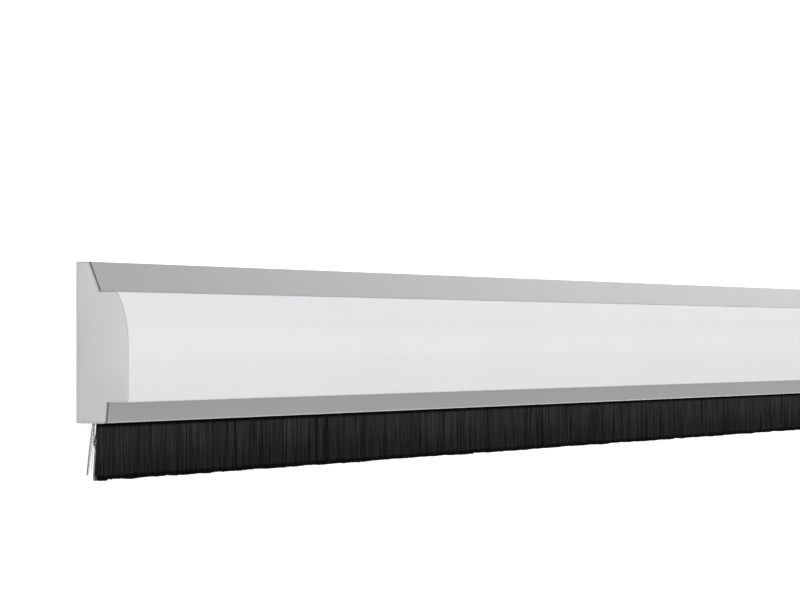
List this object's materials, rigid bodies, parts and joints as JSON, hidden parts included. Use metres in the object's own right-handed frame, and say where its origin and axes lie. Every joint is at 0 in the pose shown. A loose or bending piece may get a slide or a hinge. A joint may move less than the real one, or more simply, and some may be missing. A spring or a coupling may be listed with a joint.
{
  "type": "door brush draught strip",
  "caption": "Long door draught strip: aluminium carrier with sloped lips, white bowed clip-on cover, closed ends and a dense black brush along its lower edge.",
  "frame": {"origin": "centre of the strip's length and height, on the plane of its back face, which lies on the surface", "axes": "+X along the strip, from the end that the picture shows to the other; +Y towards the top lip, away from the brush; +Z out of the bowed front, away from the door"},
  "size_m": [1, 0.0384, 0.011],
  "materials": {
    "carrier": "satin anodised aluminium",
    "cover": "smooth white extruded plastic, satin gloss",
    "brush_spine": "black plastic",
    "bristles": "fine straight black synthetic filaments, densely packed",
    "end_cap": "light grey moulded plastic, smooth matt"
  },
  "bodies": {
    "root": {"carrier": "carrier", "cover": "cover", "brush_spine": "brush_spine", "bristles": "bristles", "end_cap_left": "end_cap", "end_cap_right": "end_cap"}
  },
  "joints": []
}
